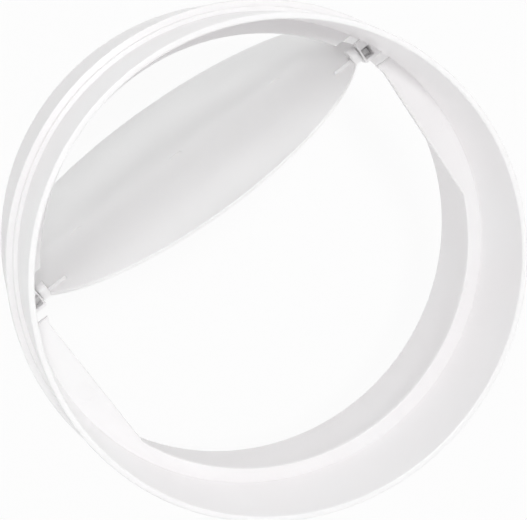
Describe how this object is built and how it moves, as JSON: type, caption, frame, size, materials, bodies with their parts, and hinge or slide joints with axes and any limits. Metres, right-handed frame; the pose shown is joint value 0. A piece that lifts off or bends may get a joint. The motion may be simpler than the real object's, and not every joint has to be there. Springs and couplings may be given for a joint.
{
  "type": "duct backdraft damper",
  "caption": "Round duct backdraft damper: a moulded ring with inlet spigot, stepped collar and outlet socket, and a thin flap that swings on an off-centre hinge to seat behind an inner lip.",
  "frame": {"origin": "on the duct axis, in the plane of the upper step of the collar, where the end of the next duct stops at the root of the inlet spigot", "axes": "+Z along the duct axis out of the inlet spigot, so air flows towards -Z; X along the flap's hinge, which lies at negative Y; +Y towards the larger part of the opening"},
  "size_m": [0.1572, 0.1572, 0.1409],
  "materials": {
    "ring": "satin white moulded plastic",
    "flap": "satin white moulded plastic"
  },
  "bodies": {
    "ring_body": {"ring": "ring"},
    "flap_body": {"flap": "flap"}
  },
  "joints": [
    {"name": "flap_hinge", "type": "hinge", "parent": "ring_body", "child": "flap_body", "pos_m": [0, -0.0321, -0.0036], "axis": [-1, 0, 0], "range_deg": [-95.2, 2.5]}
  ]
}
